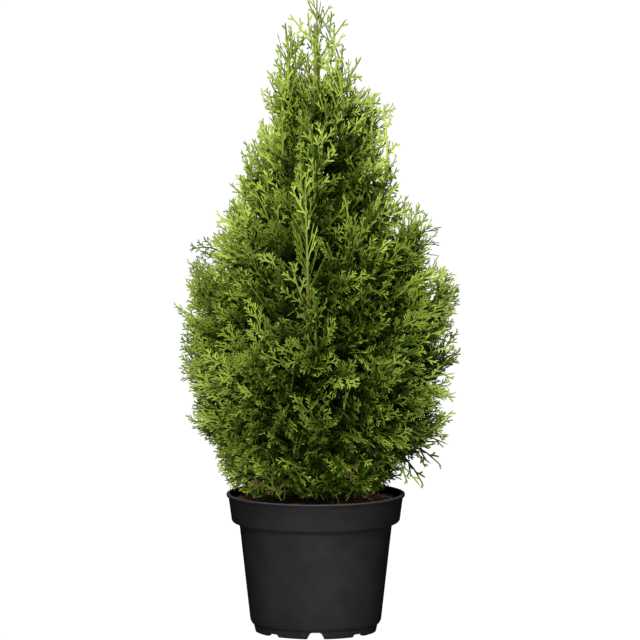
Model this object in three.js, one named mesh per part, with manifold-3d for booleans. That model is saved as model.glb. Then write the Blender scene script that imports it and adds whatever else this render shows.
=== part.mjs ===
// A young thuja in a black nursery pot: pot, compost, one trunk that runs up to the tip of the crown,
// ascending boughs, and masses of flat scaly sprays. Millimetres, +Z up, front towards -Y.
// The origin is on the ground, under the middle of the pot.
import * as THREE from "three";
import { mergeVertices } from "three/addons/utils/BufferGeometryUtils.js";
import Module from "manifold-3d";

const wasm = await Module();
wasm.setup();

// ---- Driving dimensions ----
const clearance = 0.3; // between neighbours that touch on the real plant
const pot = {
  height: 176,
  wall: 2,
  lipRadius: 113,
  lipHeight: 4,
  bandTopRadius: 110.6,
  bandFootRadius: 106.5,
  bandHeight: 33,
  shoulderDrop: 7,
  bodyTopRadius: 96.5,
  bodyFootRadius: 83,
  bodyFootHeight: 15,
  footRadius: 77,
  footHeight: 9,
  footThickness: 7,
  footDraft: 1.5,
  rounding: 2,
  sides: 32,
};
const notches = { count: 8, tallHeight: 8.4, tallWidth: 22, lowHeight: 3.6, lowWidth: 20, lean: 0.55 };
const soil = { belowRim: 10, moundRadius: 26, moundHeight: 2 };
const soilTop = pot.height - soil.belowRim + soil.moundHeight;
const trunk = { top: 802, footRadius: 6.6, tipRadius: 0.9, sides: 8, steps: 15, closerBelow: 1.5 };
const trunkFlare = { radius: 3, height: 16 };
const trunkSway = { amount: 3.5, depth: 0.6, waves: 1.6, topLean: 1.5 };
const bough = { rootRadius: 3, tipRadius: 1.9, sides: 5, steps: 3, bow: 0.24, tipShare: 0.88 };
const stem = { rootRadius: 1.8, tipRadius: 0.8, sides: 4, steps: 3 };
const twig = { rootRadius: 1.1, tipRadius: 0.7, sides: 3, from: 0.45 };
const spray = {
  longest: 92,
  shortest: 15,
  share: 0.66,
  thickness: 1.1,
  sunk: 5,
  sizes: [1, 0.85, 0.7, 0.55, 0.4],
  firstAt: 0.1,
  lastAt: 0.78,
  leastSpread: 0.4,
  mostSpread: 0.9,
  roll: 1.1,
  outward: 0.45,
  turnSlack: 0.3,
};
const blade = { teeth: 2, from: 0.2, rib: 0.06, reach: 0.38, narrowing: 0.5, stagger: 0.2, unevenness: 0.15 };
const core = { share: 0.58, widest: 50, columns: 5, rows: 5, start: 0.02, end: 0.9 };
const space = { step: 3, farthest: 150, gap: 1.3, overPot: 3, ownStem: 5.5 };
const seed = 41;
const crownSetBack = 5; // the crown reaches this much further at the back, and less in front

// Height above ground, reach to the left and reach to the right of the crown.
const crownOutline = [
  [172, 84, 88],
  [190, 120, 128],
  [220, 126, 140],
  [245, 142, 168],
  [270, 166, 174],
  [345, 180, 181],
  [420, 173, 188],
  [470, 164, 173],
  [500, 140, 165],
  [525, 134, 148],
  [550, 116, 124],
  [600, 104, 110],
  [650, 72, 102],
  [680, 66, 88],
  [705, 64, 54],
  [750, 50, 34],
  [785, 28, 30],
  [802, 6, 8],
];

// Each tier of limbs: where it leaves the trunk, where its tips end, how many there are, the turn of the
// first in degrees, the share of its length that is a bare bough, the sprays on each mass and their lift.
const tiers = [
  { from: 184, to: 205, count: 5, turn: 18, bare: 0, sprays: 3, lift: -0.1 },
  { from: 204, to: 262, count: 5, turn: 54, bare: 0, sprays: 5, lift: 0.02 },
  { from: 240, to: 342, count: 6, turn: 0, bare: 0.28, sprays: 4, lift: 0.12 },
  { from: 300, to: 430, count: 5, turn: 54, bare: 0.28, sprays: 5, lift: 0.2 },
  { from: 372, to: 522, count: 5, turn: 6, bare: 0.28, sprays: 5, lift: 0.3 },
  { from: 450, to: 606, count: 5, turn: 54, bare: 0, sprays: 4, lift: 0.35 },
  { from: 540, to: 700, count: 4, turn: 40, bare: 0, sprays: 4, lift: 0.4 },
  { from: 640, to: 775, count: 4, turn: 0, bare: 0, sprays: 4, lift: 0.5 },
];

// ---- Helpers ----
const up = new THREE.Vector3(0, 0, 1);
const goldenAngle = Math.PI * (3 - Math.sqrt(5));

function seededRandom(start) {
  let state = start >>> 0;
  return (low, high) => {
    state = (Math.imul(state, 1664525) + 1013904223) >>> 0;
    return low + ((high - low) * state) / 4294967296;
  };
}

// A closed three.js geometry as a solid.
function solidOf(geometry) {
  const bare = geometry.clone();
  bare.deleteAttribute("normal");
  bare.deleteAttribute("uv");
  const merged = mergeVertices(bare, 1e-4);
  return new wasm.Manifold(
    new wasm.Mesh({
      numProp: 3,
      vertProperties: new Float32Array(merged.attributes.position.array),
      triVerts: new Uint32Array(merged.index.array),
    }),
  );
}

// A solid as a three.js geometry with flat faces.
function geometryOf(solid) {
  const mesh = solid.getMesh();
  const geometry = new THREE.BufferGeometry();
  geometry.setAttribute("position", new THREE.BufferAttribute(mesh.vertProperties, 3));
  geometry.setIndex(new THREE.BufferAttribute(mesh.triVerts, 1));
  const flat = geometry.toNonIndexed();
  flat.computeVertexNormals();
  return flat;
}

// Joins solids into one body. A loose scrap is dropped and a sealed hollow is filled.
function fuse(solids) {
  const bodies = wasm.Manifold.union(solids).decompose();
  return bodies.reduce((largest, body) => (body.volume() > largest.volume() ? body : largest));
}

// A round limb along a curve, made from a cylinder whose rings are moved onto the curve.
function limbGeometry(curve, radiusAt, sides, steps) {
  const geometry = new THREE.CylinderGeometry(1, 1, 1, sides, steps);
  const frames = curve.computeFrenetFrames(steps);
  const positions = geometry.attributes.position;
  for (let i = 0; i < positions.count; i += 1) {
    const ring = Math.round((positions.getY(i) + 0.5) * steps);
    const along = ring / steps;
    const radius = radiusAt(along);
    const place = curve.getPointAt(along);
    place.addScaledVector(frames.normals[ring], positions.getX(i) * radius);
    place.addScaledVector(frames.binormals[ring], -positions.getZ(i) * radius);
    positions.setXYZ(i, place.x, place.y, place.z);
  }
  return geometry;
}

const taper = (from, to) => (along) => THREE.MathUtils.lerp(from, to, along);

// ---- Materials ----
const finish = (color, roughness) => new THREE.MeshStandardMaterial({ color, roughness, metalness: 0 });
const potPlastic = finish(0x1d1d1e, 0.55);
const compost = finish(0x2b1a12, 0.95);
const bark = finish(0x6a4430, 0.85);
const foliage = finish(0x5d8222, 0.6);

// ---- Pot ----
function potOutline(offset) {
  const rimBase = pot.height - pot.bandHeight;
  return [
    [pot.footRadius - offset, pot.footHeight - pot.footThickness + offset],
    [pot.bodyFootRadius - offset, pot.bodyFootHeight],
    [pot.bodyTopRadius - offset, rimBase - pot.shoulderDrop],
    [pot.bandFootRadius - offset, rimBase],
    [pot.bandTopRadius - offset, pot.height - pot.lipHeight],
  ];
}

// The foot ring's notches, tall ones in line with the axes and low ones between them.
function notchCutter(index) {
  const tall = index % 2 === 0;
  const height = tall ? notches.tallHeight : notches.lowHeight;
  const half = (tall ? notches.tallWidth : notches.lowWidth) / 2;
  const inset = height * notches.lean;
  const section = new THREE.Shape();
  section.moveTo(-half - notches.lean, -clearance);
  section.lineTo(half + notches.lean, -clearance);
  section.lineTo(half - inset, height);
  section.lineTo(-half + inset, height);
  const depth = pot.footThickness * 3;
  const geometry = new THREE.ExtrudeGeometry(section, { depth, bevelEnabled: false });
  geometry.rotateX(Math.PI / 2);
  geometry.translate(0, depth - pot.footRadius - pot.footThickness, 0);
  geometry.rotateZ((index / notches.count) * 2 * Math.PI);
  return solidOf(geometry);
}

function makePot() {
  const floor = pot.footHeight + pot.wall;
  const outside = potOutline(0).slice(1);
  const inside = potOutline(pot.wall).slice(1).reverse();
  const profile = [
    [0, pot.footHeight],
    [pot.footRadius - pot.footThickness, pot.footHeight],
    [pot.footRadius - pot.footThickness, 0],
    [pot.footRadius, 0],
    [pot.footRadius + pot.footDraft, pot.footHeight],
    ...outside,
    [pot.lipRadius, pot.height - pot.lipHeight],
    [pot.lipRadius, pot.height],
    [pot.bandTopRadius - pot.wall, pot.height],
    ...inside,
    [pot.bodyFootRadius - pot.wall - pot.rounding, floor],
    [0, floor],
  ];
  const points = profile.map(([radius, height]) => new THREE.Vector2(radius, height));
  const lathe = new THREE.LatheGeometry(points, pot.sides).rotateX(Math.PI / 2);
  let solid = solidOf(lathe);
  for (let i = 0; i < notches.count; i += 1) solid = solid.subtract(notchCutter(i));
  return geometryOf(solid);
}

// Compost fills the pot to just below the rim, with a low flat mound round the trunk.
function makeSoil() {
  const gap = pot.wall + clearance;
  const edge = pot.height - soil.belowRim;
  const [, bodyFoot, bodyTop, bandFoot, bandTop] = potOutline(gap);
  const bandShare = (edge - bandFoot[1]) / (bandTop[1] - bandFoot[1]);
  const edgeRadius = THREE.MathUtils.lerp(bandFoot[0], bandTop[0], bandShare);
  const profile = [
    [0, pot.footHeight + gap],
    [bodyFoot[0] - pot.rounding, pot.footHeight + gap],
    bodyFoot,
    bodyTop,
    bandFoot,
    [edgeRadius, edge],
    [soil.moundRadius, soilTop],
    [0, soilTop],
  ];
  const points = profile.map(([radius, height]) => new THREE.Vector2(radius, height));
  return new THREE.LatheGeometry(points, pot.sides).rotateX(Math.PI / 2);
}

// ---- Trunk ----
const trunkFoot = soilTop + clearance;

function trunkCentre(height) {
  const along = (height - trunkFoot) / (trunk.top - trunkFoot);
  const swing = trunkSway.amount * Math.sin(along * trunkSway.waves * 2 * Math.PI) * (1 - along);
  return new THREE.Vector3(swing + trunkSway.topLean * along, swing * trunkSway.depth, height);
}

function trunkRadius(height) {
  const along = (height - trunkFoot) / (trunk.top - trunkFoot);
  const flare = Math.exp(-(height - trunkFoot) / trunkFlare.height) * trunkFlare.radius;
  return THREE.MathUtils.lerp(trunk.footRadius, trunk.tipRadius, along) + flare;
}

// The trunk, with a flat cut at the compost. With extra it is grown outwards, to cut its neighbours clear.
function trunkGeometry(extra) {
  const geometry = new THREE.CylinderGeometry(1, 1, 1, trunk.sides, trunk.steps);
  const positions = geometry.attributes.position;
  for (let i = 0; i < positions.count; i += 1) {
    const along = positions.getY(i) + 0.5;
    const height = trunkFoot + (trunk.top - trunkFoot) * along ** trunk.closerBelow;
    const radius = trunkRadius(height) + extra;
    const centre = trunkCentre(height);
    positions.setXYZ(i, centre.x + positions.getX(i) * radius, centre.y - positions.getZ(i) * radius, height);
  }
  return geometry;
}

// ---- Crown ----
// How far the crown reaches at a height, in the direction of a turn about the axis.
function crownReach(height, turn) {
  const above = crownOutline.findIndex((row) => row[0] > height);
  if (above < 1) return 0;
  const [low, high] = [crownOutline[above - 1], crownOutline[above]];
  const share = (height - low[0]) / (high[0] - low[0]);
  const left = THREE.MathUtils.lerp(low[1], high[1], share);
  const right = THREE.MathUtils.lerp(low[2], high[2], share);
  const setBack = crownSetBack * Math.sin(turn) * Math.min(1, left / 60);
  return THREE.MathUtils.lerp(left, right, (1 + Math.cos(turn)) / 2) + setBack;
}

// One limb of a tier: a curve from the trunk's centre out to the crown's edge.
function makeLimb(tier, index) {
  const turn = THREE.MathUtils.degToRad(tier.turn + (360 * index) / tier.count);
  const outward = new THREE.Vector3(Math.cos(turn), Math.sin(turn), 0);
  const reach = crownReach(tier.to, turn) * bough.tipShare;
  const root = trunkCentre(tier.from);
  const tip = outward.clone().multiplyScalar(reach).setZ(tier.to);
  const elbow = root.clone().lerp(tip, 0.5);
  elbow.addScaledVector(outward, bough.bow * (tip.z - root.z));
  elbow.z -= bough.bow * (tip.z - root.z);
  return { tier, outward, curve: new THREE.QuadraticBezierCurve3(root, elbow, tip) };
}

const limbs = tiers.flatMap((tier) =>
  Array.from({ length: tier.count }, (_, index) => makeLimb(tier, index)),
);

// The stretch of a limb between two shares of its length, as a curve of its own.
function stretch(curve, from, to) {
  const points = [0, 0.25, 0.5, 0.75, 1].map((share) => curve.getPointAt(from + (to - from) * share));
  return new THREE.CatmullRomCurve3(points);
}

for (const limb of limbs) {
  const length = limb.curve.getLength();
  const stemStart = limb.tier.bare > 0 ? limb.tier.bare + clearance / length : 0;
  limb.bough = limb.tier.bare > 0 ? stretch(limb.curve, 0, limb.tier.bare) : null;
  limb.stem = stretch(limb.curve, stemStart, 1);
  limb.boughLine = limb.bough ? limb.bough.getPoints(6) : null;
  limb.line = limb.stem.getPoints(8).slice(limb.bough ? 0 : 2);
}

const segment = new THREE.Line3();
const nearest = new THREE.Vector3();

function distanceToLine(point, line) {
  let least = Infinity;
  for (let i = 1; i < line.length; i += 1) {
    segment.set(line[i - 1], line[i]).closestPointToPoint(point, true, nearest);
    least = Math.min(least, nearest.distanceTo(point));
  }
  return least;
}

// Whether a point lies in a mass's own space: inside the crown, above the pot, clear of trunk and boughs,
// and nearer to its own stem than to any other.
function inSpace(limb, point) {
  const radius = Math.hypot(point.x, point.y);
  const ground = radius > pot.bodyTopRadius ? pot.height : soilTop;
  if (point.z < ground + space.overPot || point.z > trunk.top) return false;
  if (radius > crownReach(point.z, Math.atan2(point.y, point.x))) return false;
  const fromTrunk = point.distanceTo(trunkCentre(point.z));
  if (fromTrunk < trunkRadius(point.z) + space.gap) return false;
  const own = distanceToLine(point, limb.line);
  return limbs.every((other) => {
    if (other === limb) return true;
    if (distanceToLine(point, other.line) < own + 2 * space.gap) return false;
    return !other.boughLine || distanceToLine(point, other.boughLine) > bough.rootRadius + space.gap;
  });
}

const onStem = (limb, point) => distanceToLine(point, limb.line) < space.ownStem;

// How far a straight line from a point stays in a mass's own space.
function freeRun(limb, from, direction) {
  const point = new THREE.Vector3();
  let run = space.step;
  while (run < space.farthest) {
    point.copy(from).addScaledVector(direction, run);
    if (!onStem(limb, point) && !inSpace(limb, point)) break;
    run += space.step;
  }
  return run - space.step;
}

// The outline of a flat spray of length 1: a rib with pointed side shoots, alternate left and right.
function sprayOutline(random) {
  const uneven = () => random(1 - blade.unevenness, 1 + blade.unevenness);
  const side = (sign) => {
    const points = [];
    for (let i = 0; i < blade.teeth; i += 1) {
      const step = (i + 0.5 + sign * blade.stagger) / (blade.teeth + 1);
      const foot = THREE.MathUtils.lerp(blade.from, 1, step);
      const reach = blade.reach * (1 - (blade.narrowing * i) / blade.teeth) * uneven();
      points.push([sign * blade.rib, foot], [sign * reach, foot + reach * uneven()]);
    }
    return points;
  };
  const outline = [[blade.rib / 2, 0], ...side(1), [0, 1], ...side(-1).reverse(), [-blade.rib / 2, 0]];
  return outline.map(([across, along]) => new THREE.Vector2(across, along));
}

// A flat spray from a point, along a direction, turned about it by a roll.
function placeSpray(outline, from, direction, roll, length) {
  const across = new THREE.Vector3().crossVectors(direction, up).normalize();
  across.applyAxisAngle(direction, roll);
  const normal = new THREE.Vector3().crossVectors(across, direction);
  const matrix = new THREE.Matrix4().makeBasis(across, direction, normal).setPosition(from);
  const points = outline.map((point) => point.clone().multiplyScalar(length));
  return { matrix, points };
}

// A spray fits where every corner of its outline, and every middle between two, is in the mass's space.
function sprayFits(limb, { matrix, points }) {
  return points.every((point, i) => {
    const middle = point.clone().lerp(points[(i + 1) % points.length], 0.5);
    return [point, middle].every((flat) => {
      const place = new THREE.Vector3(flat.x, flat.y, 0).applyMatrix4(matrix);
      return onStem(limb, place) || inSpace(limb, place);
    });
  });
}

function spraySolid({ matrix, points }) {
  const depth = spray.thickness;
  const geometry = new THREE.ExtrudeGeometry(new THREE.Shape(points), { depth, bevelEnabled: false });
  return solidOf(geometry.translate(0, 0, -depth / 2).applyMatrix4(matrix));
}

// A thin twig from the stem to the foot of its spray, and on into it.
function twigSolid(from, to) {
  const path = new THREE.LineCurve3(from, to);
  return solidOf(limbGeometry(path, taper(twig.rootRadius, twig.tipRadius), twig.sides, 1));
}

// The direction of a mass's spray: they turn round the stem by the golden angle, and the last one ends it.
function sprayDirection(limb, index, frames, random) {
  const turn = index * goldenAngle + random(-spray.turnSlack, spray.turnSlack);
  const spread = random(spray.leastSpread, spray.mostSpread);
  const direction = frames.tangents[index].clone();
  if (index === limb.tier.sprays) return direction;
  direction.multiplyScalar(Math.cos(spread));
  direction.addScaledVector(frames.normals[index], Math.sin(spread) * Math.cos(turn));
  direction.addScaledVector(frames.binormals[index], Math.sin(spread) * Math.sin(turn));
  direction.addScaledVector(limb.outward, spray.outward).addScaledVector(up, limb.tier.lift);
  return direction.normalize();
}

// The sprays of a mass. One that would leave its space is tried smaller and turned, and then skipped.
function massSprays(limb, random) {
  const solids = [];
  const count = limb.tier.sprays;
  const frames = limb.stem.computeFrenetFrames(count);
  for (let i = 1; i <= count; i += 1) {
    const share = THREE.MathUtils.lerp(spray.firstAt, spray.lastAt, (i - 1) / (count - 1));
    const from = limb.stem.getPointAt(share);
    const direction = sprayDirection(limb, i, frames, random);
    const outline = sprayOutline(random);
    const run = freeRun(limb, from, direction);
    for (const size of spray.sizes) {
      const length = Math.min(spray.longest, run * spray.share) * size;
      const foot = from.clone().addScaledVector(direction, run - length);
      const placed = placeSpray(outline, foot, direction, random(-spray.roll, spray.roll), length);
      if (length < spray.shortest || !sprayFits(limb, placed)) continue;
      solids.push(spraySolid(placed));
      if (run - length > twig.from * run) {
        solids.push(twigSolid(from, foot.clone().addScaledVector(direction, spray.sunk)));
      }
      break;
    }
  }
  return solids;
}

// The dense middle of a mass: a ball drawn out along the stem, whose points lie part of the way from the
// stem to the edge of the mass's space.
function coreSolid(limb) {
  const geometry = new THREE.SphereGeometry(1, core.columns, core.rows);
  const frames = limb.stem.computeFrenetFrames(core.rows);
  const positions = geometry.attributes.position;
  for (let i = 0; i < positions.count; i += 1) {
    const row = Math.floor(i / (core.columns + 1));
    const turn = (2 * Math.PI * (i % (core.columns + 1) % core.columns)) / core.columns;
    const polar = (Math.PI * row) / core.rows;
    const along = THREE.MathUtils.lerp(core.start, core.end, (1 - Math.cos(polar)) / 2);
    const centre = limb.stem.getPointAt(along);
    const outward = frames.normals[row].clone().multiplyScalar(-Math.cos(turn));
    outward.addScaledVector(frames.binormals[row], Math.sin(turn));
    const run = Math.min(core.widest, core.share * freeRun(limb, centre, outward));
    const atEnd = row % core.rows === 0;
    const radius = atEnd ? 0 : Math.max(run, stem.rootRadius) * Math.sqrt(Math.sin(polar));
    centre.addScaledVector(outward, radius);
    positions.setXYZ(i, centre.x, centre.y, centre.z);
  }
  return solidOf(geometry);
}

function stemSolid(limb) {
  return solidOf(limbGeometry(limb.stem, taper(stem.rootRadius, stem.tipRadius), stem.sides, stem.steps));
}

const trunkCutter = solidOf(trunkGeometry(clearance));

function boughSolid(limb, extra) {
  const radiusAt = taper(bough.rootRadius + extra, bough.tipRadius + extra);
  return solidOf(limbGeometry(limb.bough, radiusAt, bough.sides, bough.steps));
}

function makeMass(limb, random) {
  const solids = [stemSolid(limb), coreSolid(limb), ...massSprays(limb, random)];
  let whole = wasm.Manifold.union(solids).subtract(trunkCutter);
  if (limb.bough) whole = whole.subtract(boughSolid(limb, clearance));
  return geometryOf(fuse([whole]));
}

function makeBough(limb) {
  return geometryOf(fuse([boughSolid(limb, 0).subtract(trunkCutter)]));
}

// ---- Assembly ----
const plant = new THREE.Group();

function add(name, geometry, material) {
  const mesh = new THREE.Mesh(geometry, material);
  mesh.name = name;
  plant.add(mesh);
}

add("pot", makePot(), potPlastic);
add("compost", makeSoil(), compost);
add("trunk", trunkGeometry(0), bark);

const random = seededRandom(seed);
tiers.forEach((tier, level) => {
  limbs
    .filter((limb) => limb.tier === tier)
    .forEach((limb, index) => {
      const label = `${level + 1}_${index + 1}`;
      if (limb.bough) add(`bough_${label}`, makeBough(limb), bark);
      add(`foliage_${label}`, makeMass(limb, random), foliage);
    });
});

export default plant;
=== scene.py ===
import math
import random

import bmesh
import bpy
import numpy as np
from mathutils import Matrix, Vector, noise


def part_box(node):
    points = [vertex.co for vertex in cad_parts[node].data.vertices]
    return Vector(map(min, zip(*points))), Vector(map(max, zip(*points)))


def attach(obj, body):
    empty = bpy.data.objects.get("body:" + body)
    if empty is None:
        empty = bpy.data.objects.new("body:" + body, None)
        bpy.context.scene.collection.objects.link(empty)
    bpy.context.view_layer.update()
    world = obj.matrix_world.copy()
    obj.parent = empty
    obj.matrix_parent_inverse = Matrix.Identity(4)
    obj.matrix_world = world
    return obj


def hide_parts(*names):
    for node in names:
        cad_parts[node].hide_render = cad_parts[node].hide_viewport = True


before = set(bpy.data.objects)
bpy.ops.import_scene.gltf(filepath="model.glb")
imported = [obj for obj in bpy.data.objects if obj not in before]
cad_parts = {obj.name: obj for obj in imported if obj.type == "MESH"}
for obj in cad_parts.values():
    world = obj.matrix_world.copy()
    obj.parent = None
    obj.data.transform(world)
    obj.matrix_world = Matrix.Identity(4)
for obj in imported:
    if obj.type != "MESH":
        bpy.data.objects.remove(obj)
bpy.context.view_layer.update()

# +Z up, the front faces -Y. Sizes are in millimetres and angles in degrees, unless a note says otherwise.
mm = 0.001
fullTurn = 2 * math.pi
goldenAngle = math.pi * (3 - math.sqrt(5))
up = np.array([0, 0, 1.0])


def nodesOf(start):
    return sorted(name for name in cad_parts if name.startswith(start))


def keep(piece, slot, *nodes):  # every piece of the plant rides on the one body
    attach(piece, "root")
    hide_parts(*nodes)
    return piece


def linked(name, data):
    made = bpy.data.objects.new(name, data)
    bpy.context.collection.objects.link(made)
    return made


def objectFrom(bm, name, materials, smooth=True):
    mesh = bpy.data.meshes.new(name)
    bm.to_mesh(mesh)
    bm.free()
    for material in materials:
        mesh.materials.append(material)
    mesh.polygons.foreach_set("use_smooth", [smooth] * len(mesh.polygons))
    return linked(name, mesh)


# Materials. Object coordinates are metres, so a noise scale of 1000 has grains of about a millimetre.
def nodeMaterial(name, color, roughness, specular=0.5):
    material = bpy.data.materials.new(name)
    material.use_nodes = True
    shader = material.node_tree.nodes["Principled BSDF"]
    shader.inputs["Base Color"].default_value = (*color, 1)
    shader.inputs["Roughness"].default_value = roughness
    shader.inputs["Specular IOR Level"].default_value = specular
    return material, shader


def addNode(material, kind, **settings):
    node = material.node_tree.nodes.new(kind)
    for key, value in settings.items():
        if key in node.inputs:
            node.inputs[key].default_value = value
        else:
            setattr(node, key, value)
    return node


def join(material, source, target):
    material.node_tree.links.new(source, target)


def noiseOf(material, scale, detail, roughness, stretch=(1, 1, 1)):
    place = addNode(material, "ShaderNodeTexCoord")
    mapping = addNode(material, "ShaderNodeMapping", Scale=stretch)
    pattern = addNode(material, "ShaderNodeTexNoise", Scale=scale, Detail=detail, Roughness=roughness)
    join(material, place.outputs["Object"], mapping.inputs["Vector"])
    join(material, mapping.outputs["Vector"], pattern.inputs["Vector"])
    return pattern.outputs["Fac"]


def ramp(material, value, stops):
    node = addNode(material, "ShaderNodeValToRGB")
    colors = node.color_ramp.elements
    while len(colors) < len(stops):
        colors.new(0.5)
    for element, (position, color) in zip(colors, stops):
        element.position = position
        element.color = (*color, 1)
    join(material, value, node.inputs["Fac"])
    return node.outputs["Color"]


def spanned(material, value, low, high, fromLow=0.3, fromHigh=0.7):
    node = addNode(material, "ShaderNodeMapRange")
    for key, number in zip(("From Min", "From Max", "To Min", "To Max"), (fromLow, fromHigh, low, high)):
        node.inputs[key].default_value = number
    join(material, value, node.inputs["Value"])
    return node.outputs["Result"]


def bump(material, shader, value, strength, distance):
    node = addNode(material, "ShaderNodeBump", Strength=strength, Distance=distance)
    join(material, value, node.inputs["Height"])
    join(material, node.outputs["Normal"], shader.inputs["Normal"])


# The pot: a moulded black nursery container, spun from one profile, with notches cut in its foot ring.
pot = {
    "wall": 2.0,
    "lip": (113, 4.0),  # radius, height
    "bandTop": 110.6,
    "bandFoot": (106.4, 140.8),  # radius, height above the ground, as below
    "bodyTop": (96.6, 136.0),
    "bodyFoot": (83.0, 14.6),
    "foot": (77.4, 9.4, 7.0),  # outer radius, height, thickness
    "rounding": 1.2,
    "steps": 144,
    "tallNotch": (22, 8.6),  # width, height
    "lowNotch": (20, 3.6),
    "plastic": (0.0043, 0.0043, 0.0045),
    "scuff": (0.0065, 0.0065, 0.0067),
    "lipHighlightColor": (0.034, 0.034, 0.034),
    "lipHighlight": (1.5, 0.3),  # the painted highlight starts and is full this far below the top
}
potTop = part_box("pot")[1].z / mm


def fillet(corners, steps=4):  # corners are (radius, height, rounding), and each becomes an arc
    points = []
    for i, (x, y, rounding) in enumerate(corners):
        here = Vector((x, y))
        if rounding == 0 or i in (0, len(corners) - 1):
            points.append(here)
            continue
        back, on = Vector(corners[i - 1][:2]) - here, Vector(corners[i + 1][:2]) - here
        reach = min(rounding, back.length * 0.45, on.length * 0.45)
        start, end = here + back.normalized() * reach, here + on.normalized() * reach
        for k in range(steps + 1):
            t = k / steps
            points.append(start * (1 - t) ** 2 + here * 2 * t * (1 - t) + end * t**2)
    return points


def spun(points, steps):
    bm = bmesh.new()
    verts = [bm.verts.new((x * mm, 0, z * mm)) for x, z in points]
    edges = [bm.edges.new(pair) for pair in zip(verts, verts[1:])]
    bmesh.ops.spin(
        bm, geom=verts + edges, axis=(0, 0, 1), cent=(0, 0, 0), steps=steps, angle=fullTurn, use_merge=True
    )
    bmesh.ops.remove_doubles(bm, verts=bm.verts, dist=1e-6)
    bmesh.ops.recalc_face_normals(bm, faces=bm.faces)
    return bm


def notchCutters():
    bm = bmesh.new()
    radius, _, thickness = pot["foot"]
    for i in range(8):
        width, height = pot["lowNotch"] if i % 2 else pot["tallNotch"]
        turn = Matrix.Rotation(i * fullTurn / 8, 3, "Z")
        half, top = width / 2, width / 2 - height * 0.5
        corners = [(-half - 0.5, -1, 0), (half + 0.5, -1, 0)]
        corners += [(top, height, height / 3), (-top, height, height / 3)]
        section = fillet(corners + corners[:1])[:-1]
        front = -(radius + thickness) * mm
        face = bm.faces.new([bm.verts.new(turn @ Vector((x * mm, front, z * mm))) for x, z in section])
        grown = bmesh.ops.extrude_face_region(bm, geom=[face])["geom"]
        moved = [item for item in grown if isinstance(item, bmesh.types.BMVert)]
        bmesh.ops.translate(bm, verts=moved, vec=turn @ Vector((0, 3 * thickness * mm, 0)))
    bmesh.ops.recalc_face_normals(bm, faces=bm.faces)
    return bm


def potMaterial():
    material, shader = nodeMaterial("mouldedBlackPlastic", pot["plastic"], 0.55, 0.0)
    cloudy = noiseOf(material, 26, 6, 0.65)
    scuffs = noiseOf(material, 240, 3, 0.7, (1, 1, 0.15))
    grain = noiseOf(material, 2600, 2, 0.5)
    base = ramp(material, cloudy, [(0.35, pot["plastic"]), (0.75, pot["scuff"])])
    place = addNode(material, "ShaderNodeTexCoord")
    split = addNode(material, "ShaderNodeSeparateXYZ")
    join(material, place.outputs["Object"], split.inputs["Vector"])
    # painted highlight: a lighter line along the top of the lip
    heights = [(potTop - depth) * mm for depth in pot["lipHighlight"]]
    lipHighlight = spanned(material, split.outputs["Z"], 0, 0.85, *heights)
    mixed = addNode(material, "ShaderNodeMix", data_type="RGBA")
    factor, lower, upper = mixed.inputs[0], mixed.inputs[6], mixed.inputs[7]  # the sockets of its colour mode
    upper.default_value = (*pot["lipHighlightColor"], 1)
    join(material, lipHighlight, factor)
    join(material, base, lower)
    join(material, mixed.outputs[2], shader.inputs["Base Color"])
    join(material, spanned(material, scuffs, 0.46, 0.64), shader.inputs["Roughness"])
    bump(material, shader, grain, 0.25, 0.0004)
    return material


def makePot():
    wall, rounding = pot["wall"], pot["rounding"]
    lipRadius, lipHeight = pot["lip"]
    bandTop, (bandFoot, bandFootHeight) = pot["bandTop"], pot["bandFoot"]
    bodyTop, shoulder = pot["bodyTop"]
    bodyFoot, bodyFootHeight = pot["bodyFoot"]
    foot, footHeight, thickness = pot["foot"]
    outside = [(bodyFoot, bodyFootHeight, 2.2), (bodyTop, shoulder, rounding)]
    outside += [(bandFoot, bandFootHeight, 2.6)]
    inside = [(radius - wall, height + wall, bend) for radius, height, bend in reversed(outside)]
    corners = [
        (0, footHeight, 0),
        (foot - thickness, footHeight, 1),
        (foot - thickness, 0, 0.6),
        (foot - 0.6, 0, 0.8),
        (foot + 1, footHeight - 1.2, 0.6),
        (foot + 0.2, footHeight, 0.3),
        (bodyFoot - 2.4, footHeight + 1, 1.2),
        *outside,
        (bandTop, potTop - lipHeight, 0.5),
        (lipRadius, potTop - lipHeight + 0.4, 0.7),
        (lipRadius, potTop, 1.3),
        (bandTop - wall, potTop, 1.0),
        *inside,
        (bodyFoot - 2 * wall, footHeight + wall, 1),
        (0, footHeight + wall, 0),
    ]
    plastic = [potMaterial()]
    piece = objectFrom(spun(fillet(corners), pot["steps"]), "nurseryPot", plastic)
    cutter = objectFrom(notchCutters(), "notchCutter", plastic)
    cut = piece.modifiers.new("notches", "BOOLEAN")
    cut.operation, cut.solver, cut.object = "DIFFERENCE", "EXACT", cutter
    evaluated = piece.evaluated_get(bpy.context.evaluated_depsgraph_get())
    piece.data = bpy.data.meshes.new_from_object(evaluated)
    piece.modifiers.clear()
    bpy.data.objects.remove(cutter)
    piece.data.shade_smooth()
    piece.data.set_sharp_from_angle(angle=math.radians(38))
    return keep(piece, "pot", "pot")


print("pot")
makePot()

# The compost: dark moist peat with chips of bark lying on it.
compost = {
    "belowRim": 9.5,
    "mound": (3.5, 45),  # higher at the trunk: height, radius
    "relief": 1.6,
    "rings": 44,
    "steps": 150,
    "chips": 1500,
    "chipsWithin": 104,
    "chipLength": (1.6, 6.5),
    "dark": (0.068, 0.027, 0.015),
    "brown": (0.230, 0.082, 0.038),
    "chip": (0.280, 0.120, 0.058),
}
compostLevel = potTop - compost["belowRim"]


def compostHeight(x, y):
    height, radius = compost["mound"]
    rough = noise.fractal(Vector((x, y, 0)) * 0.05, 0.8, 2.0, 5) * compost["relief"]
    return compostLevel + height * math.exp(-((math.hypot(x, y) / radius) ** 2)) + rough


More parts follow.
